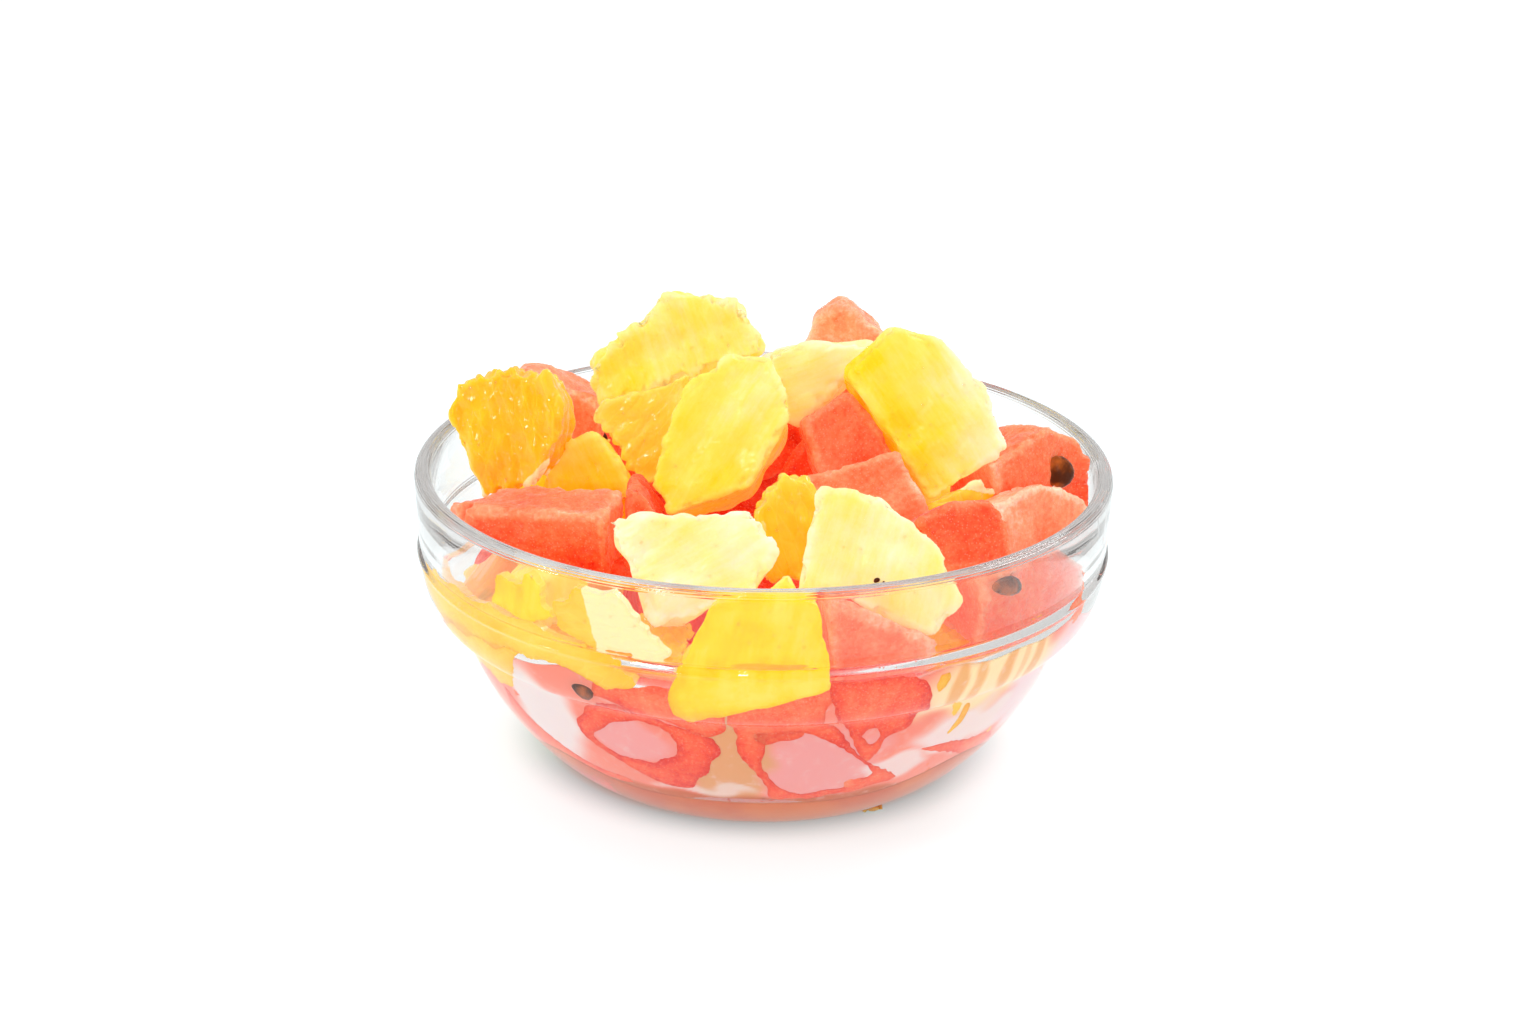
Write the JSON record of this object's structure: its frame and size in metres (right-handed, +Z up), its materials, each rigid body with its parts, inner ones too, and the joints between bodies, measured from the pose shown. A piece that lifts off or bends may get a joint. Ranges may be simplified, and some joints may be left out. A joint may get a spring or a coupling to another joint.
{
  "type": "fruit salad in a glass bowl",
  "caption": "Clear stacking glass bowl heaped with knife-cut chunks of pineapple, watermelon and orange over a little juice.",
  "frame": {"origin": "centre of the bowl's foot on the table", "axes": "+Z up along the bowl's axis; -Y towards the side of the heap seen first, +X to the right of it"},
  "size_m": [0.17, 0.17, 0.1153],
  "materials": {
    "glass": "polished clear glass",
    "pineapple": "moist cut fruit",
    "watermelon": "moist grainy cut fruit",
    "orange": "wet orange pulp",
    "juice": "thin juice"
  },
  "bodies": {
    "root": {"bowl": "glass", "hidden_heap_back": "watermelon", "hidden_heap_core": "watermelon", "hidden_heap_left": "orange", "juice": "juice", "orange_far_left": "orange", "orange_front_left": "orange", "orange_front_middle": "orange", "orange_layer1_4": "orange", "orange_layer2_1": "orange", "orange_layer2_5": "orange", "orange_layer2_8": "orange", "orange_layer3_2": "orange", "orange_left_chunk": "orange", "orange_middle_slice": "orange", "orange_right_sliver": "orange", "orange_wall_left": "orange", "orange_wall_right": "orange", "pineapple_back_fan": "pineapple", "pineapple_back_middle": "pineapple", "pineapple_front_wedge": "pineapple", "pineapple_layer1_2": "pineapple", "pineapple_layer1_6": "pineapple", "pineapple_layer2_3": "pineapple", "pineapple_layer2_7": "pineapple", "pineapple_layer3_1": "pineapple", "pineapple_layer3_4": "pineapple", "pineapple_left_bit": "pineapple", "pineapple_pale_left": "pineapple", "pineapple_pale_right": "pineapple", "pineapple_small_left": "pineapple", "pineapple_top_long": "pineapple", "pineapple_top_right": "pineapple", "watermelon_back_left": "watermelon", "watermelon_back_peak": "watermelon", "watermelon_foot_left": "watermelon", "watermelon_foot_middle": "watermelon", "watermelon_foot_right": "watermelon", "watermelon_front_right": "watermelon", "watermelon_layer1_1": "watermelon", "watermelon_layer1_3": "watermelon", "watermelon_layer1_5": "watermelon", "watermelon_layer1_7": "watermelon", "watermelon_layer2_2": "watermelon", "watermelon_layer2_4": "watermelon", "watermelon_layer2_6": "watermelon", "watermelon_layer3_3": "watermelon", "watermelon_left_bar": "watermelon", "watermelon_left_corner": "watermelon", "watermelon_left_inner": "watermelon", "watermelon_middle_dark": "watermelon", "watermelon_middle_front": "watermelon", "watermelon_middle_high": "watermelon", "watermelon_right_front": "watermelon", "watermelon_right_red": "watermelon", "watermelon_right_seeded": "watermelon", "watermelon_wall_front": "watermelon", "watermelon_wall_left": "watermelon", "watermelon_wall_right": "watermelon"}
  },
  "joints": []
}
